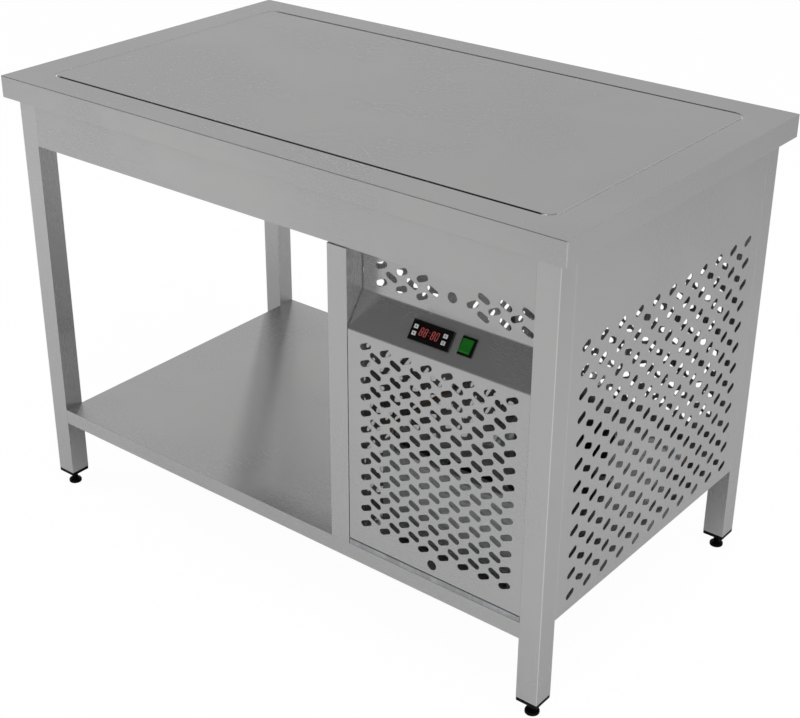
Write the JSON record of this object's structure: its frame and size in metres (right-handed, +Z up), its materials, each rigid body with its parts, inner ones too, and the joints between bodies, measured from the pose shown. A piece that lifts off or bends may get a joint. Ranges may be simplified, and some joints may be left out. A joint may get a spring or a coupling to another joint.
{
  "type": "refrigerated table",
  "caption": "Stainless work table with a flush cold plate in its top, an open storage bay with a shelf, and a perforated unit bay with a slanted control console.",
  "frame": {"origin": "on the floor under the middle of the worktop, with the feet at rest", "axes": "+X to the right along the front, -Y to the front, +Z up"},
  "size_m": [1.2, 0.7, 0.85],
  "materials": {
    "stainless": "satin",
    "galvanised": "satin",
    "seal": "matte",
    "copper": "satin",
    "foam": "matte",
    "probe": "satin",
    "black_plastic": "satin",
    "display": "gloss",
    "key": "satin",
    "rocker_green": "gloss",
    "aluminium": "satin",
    "compressor_black": "satin",
    "rubber": "matte",
    "box_grey": "matte"
  },
  "bodies": {
    "table": {"worktop": "stainless", "cold_plate": "stainless", "front_apron": "stainless", "rear_apron": "stainless", "left_apron": "stainless", "shelf": "stainless", "unit_tray": "stainless", "partition": "stainless", "side_panel": "stainless", "rear_panel": "stainless", "leg_front_left": "stainless", "leg_front_right": "stainless", "leg_rear_left": "stainless", "leg_rear_right": "stainless", "insulation_pan": "galvanised", "right_rail": "galvanised", "shelf_stiffener": "galvanised", "fan_shroud": "galvanised", "fan_bar": "galvanised", "compressor_nuts": "galvanised", "plate_seal": "seal", "evaporator_coil": "copper", "discharge_line": "copper", "liquid_line": "copper", "filter_drier": "copper", "capillary_tube": "copper", "suction_line": "copper", "insulation_slab": "foam", "plate_probe": "probe", "fan_motor": "probe", "terminal_cover": "black_plastic", "cord_gland": "black_plastic", "leg_insert_front_left": "black_plastic", "leg_insert_front_right": "black_plastic", "leg_insert_rear_left": "black_plastic", "leg_insert_rear_right": "black_plastic", "condenser_tubes": "aluminium", "condenser_fins": "aluminium", "compressor": "compressor_black", "compressor_grommets": "rubber", "terminal_box": "box_grey"},
    "front_panel": {"front_panel": "stainless", "controller_housing": "black_plastic", "display_window": "display", "switch_housing": "black_plastic"},
    "rocker": {"rocker": "rocker_green"},
    "fan": {"fan_rotor": "black_plastic", "fan_shaft": "probe"},
    "key_1": {"key_1": "key"},
    "key_2": {"key_2": "key"},
    "key_3": {"key_3": "key"},
    "key_4": {"key_4": "key"},
    "foot_front_left": {"foot_front_left": "black_plastic"},
    "foot_front_right": {"foot_front_right": "black_plastic"},
    "foot_rear_left": {"foot_rear_left": "black_plastic"},
    "foot_rear_right": {"foot_rear_right": "black_plastic"}
  },
  "joints": [
    {"name": "foot_front_left_screw", "type": "slide", "parent": "table", "child": "foot_front_left", "axis": [0, 0, 1], "range_m": [-0.02, 0.018]},
    {"name": "foot_front_right_screw", "type": "slide", "parent": "table", "child": "foot_front_right", "axis": [0, 0, 1], "range_m": [-0.02, 0.018]},
    {"name": "foot_rear_left_screw", "type": "slide", "parent": "table", "child": "foot_rear_left", "axis": [0, 0, 1], "range_m": [-0.02, 0.018]},
    {"name": "foot_rear_right_screw", "type": "slide", "parent": "table", "child": "foot_rear_right", "axis": [0, 0, 1], "range_m": [-0.02, 0.018]},
    {"name": "front_panel_pull", "type": "slide", "parent": "table", "child": "front_panel", "axis": [0, -1, 0], "range_m": [0, 0.15]},
    {"name": "key_1_press", "type": "slide", "parent": "front_panel", "child": "key_1", "axis": [0, 0.8087, -0.5882], "range_m": [0, 0.0006], "stiffness_N_per_m": 1500, "springref_m": -0.0003},
    {"name": "key_2_press", "type": "slide", "parent": "front_panel", "child": "key_2", "axis": [0, 0.8087, -0.5882], "range_m": [0, 0.0006], "stiffness_N_per_m": 1500, "springref_m": -0.0003},
    {"name": "key_3_press", "type": "slide", "parent": "front_panel", "child": "key_3", "axis": [0, 0.8087, -0.5882], "range_m": [0, 0.0006], "stiffness_N_per_m": 1500, "springref_m": -0.0003},
    {"name": "key_4_press", "type": "slide", "parent": "front_panel", "child": "key_4", "axis": [0, 0.8087, -0.5882], "range_m": [0, 0.0006], "stiffness_N_per_m": 1500, "springref_m": -0.0003},
    {"name": "rocker_tilt", "type": "hinge", "parent": "front_panel", "child": "rocker", "pos_m": [0.41, -0.30761, 0.61423], "axis": [1, 0, 0], "range_deg": [0, 18]},
    {"name": "fan_spin", "type": "hinge", "parent": "table", "child": "fan", "pos_m": [0.365, -0.2, 0.282], "axis": [0, 1, 0], "continuous": true}
  ]
}
